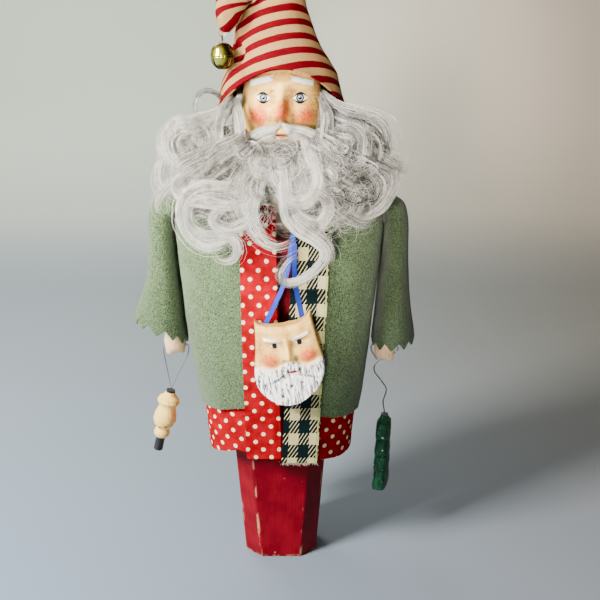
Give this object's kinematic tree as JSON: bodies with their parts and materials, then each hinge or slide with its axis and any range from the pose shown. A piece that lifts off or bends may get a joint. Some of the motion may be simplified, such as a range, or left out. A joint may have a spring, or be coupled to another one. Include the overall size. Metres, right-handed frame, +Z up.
{
  "type": "gnome figurine",
  "caption": "Wooden post gnome dressed in felt and cotton, with curly beard, folded striped cap, jingle bell, face pendant and swinging arms that carry two hanging toys.",
  "frame": {"origin": "centre of the post's flat underside, on the surface it stands on", "axes": "+Z up through the hat, -Y out through the face, +X to the viewer's right"},
  "size_m": [0.18, 0.1108, 0.3784],
  "materials": {
    "paint_red": "hand-painted, worn edges",
    "raw_wood": "sanded",
    "toy_wood": "waxed turned wood",
    "steel": "dull",
    "brass": "polished",
    "skin": "carved and painted, antiqued",
    "mask_clay": "modelled clay, painted and antiqued",
    "mohair": "curly mohair",
    "felt": "wool felt",
    "dotted": "printed cotton",
    "plaid": "woven check",
    "stripe": "striped cotton",
    "satin": "satin ribbon",
    "black": "black paint",
    "green": "green paint",
    "fibrefill": "loose fibre"
  },
  "bodies": {
    "figure": {"body_post": "paint_red", "shoulder_yoke": "raw_wood", "neck_dowel": "raw_wood", "yoke_screw_left": "steel", "yoke_screw_right": "steel", "shoulder_spacer_left": "raw_wood", "shoulder_spacer_right": "raw_wood", "shoulder_screw_left": "steel", "shoulder_screw_right": "steel", "head": "skin", "beard": "mohair", "moustache": "mohair", "hair_left": "mohair", "hair_right": "mohair", "hair_back": "mohair", "hat_cloth": "stripe", "hat_stuffing": "fibrefill", "bell_thread": "fibrefill", "robe": "dotted", "robe_front_band": "dotted", "coat_back": "felt", "coat_front_left": "felt", "coat_front_right": "felt", "scarf_collar": "plaid", "scarf_long_end": "plaid", "scarf_short_end": "plaid", "ribbon_collar": "satin", "ribbon_neck": "satin"},
    "left_arm": {"arm_left": "paint_red", "hand_left": "raw_wood", "sleeve_left": "felt"},
    "right_arm": {"arm_right": "paint_red", "hand_right": "raw_wood", "sleeve_right": "felt"},
    "peg_toy": {"peg_toy_body": "toy_wood", "peg_toy_cap": "black", "peg_toy_disc": "black", "peg_toy_wire": "steel"},
    "tree_toy": {"tree_toy_board": "green", "tree_toy_wire": "steel"},
    "bell": {"bell_cup_upper": "brass", "bell_cup_lower": "brass", "bell_eye": "brass"},
    "pellet": {"bell_pellet": "steel"},
    "pendant": {"ribbon_left": "satin", "ribbon_right": "satin"},
    "mask": {"mask_face": "mask_clay"}
  },
  "joints": [
    {"name": "left_arm_swing", "type": "hinge", "parent": "figure", "child": "left_arm", "pos_m": [-0.072, 0, 0.228], "axis": [0.9962, 0, 0.0872], "range_deg": [-70, 20]},
    {"name": "right_arm_swing", "type": "hinge", "parent": "figure", "child": "right_arm", "pos_m": [0.072, 0, 0.228], "axis": [0.9962, 0, -0.0872], "range_deg": [-70, 20]},
    {"name": "peg_toy_swing", "type": "hinge", "parent": "left_arm", "child": "peg_toy", "pos_m": [-0.06758, 0, 0.14306], "axis": [0.9962, 0, 0.0872], "range_deg": [-60, 60]},
    {"name": "tree_toy_swing", "type": "hinge", "parent": "right_arm", "child": "tree_toy", "pos_m": [0.06758, 0, 0.14306], "axis": [0.9962, 0, -0.0872], "range_deg": [-60, 60]},
    {"name": "bell_swing", "type": "hinge", "parent": "figure", "child": "bell", "pos_m": [-0.032, -0.015, 0.33725], "axis": [0, 1, 0], "range_deg": [-30, 30]},
    {"name": "pellet_rattle", "type": "slide", "parent": "bell", "child": "pellet", "axis": [0, 0, 1], "range_m": [0, 0.006]},
    {"name": "pendant_swing", "type": "hinge", "parent": "figure", "child": "pendant", "pos_m": [0.0087, -0.0472, 0.221], "axis": [0, 1, 0], "range_deg": [-15, 15]},
    {"name": "mask_tilt", "type": "hinge", "parent": "pendant", "child": "mask", "pos_m": [0.00251, -0.0506, 0.17909], "axis": [0.9848, 0, 0.1736], "range_deg": [-60, 0]}
  ]
}
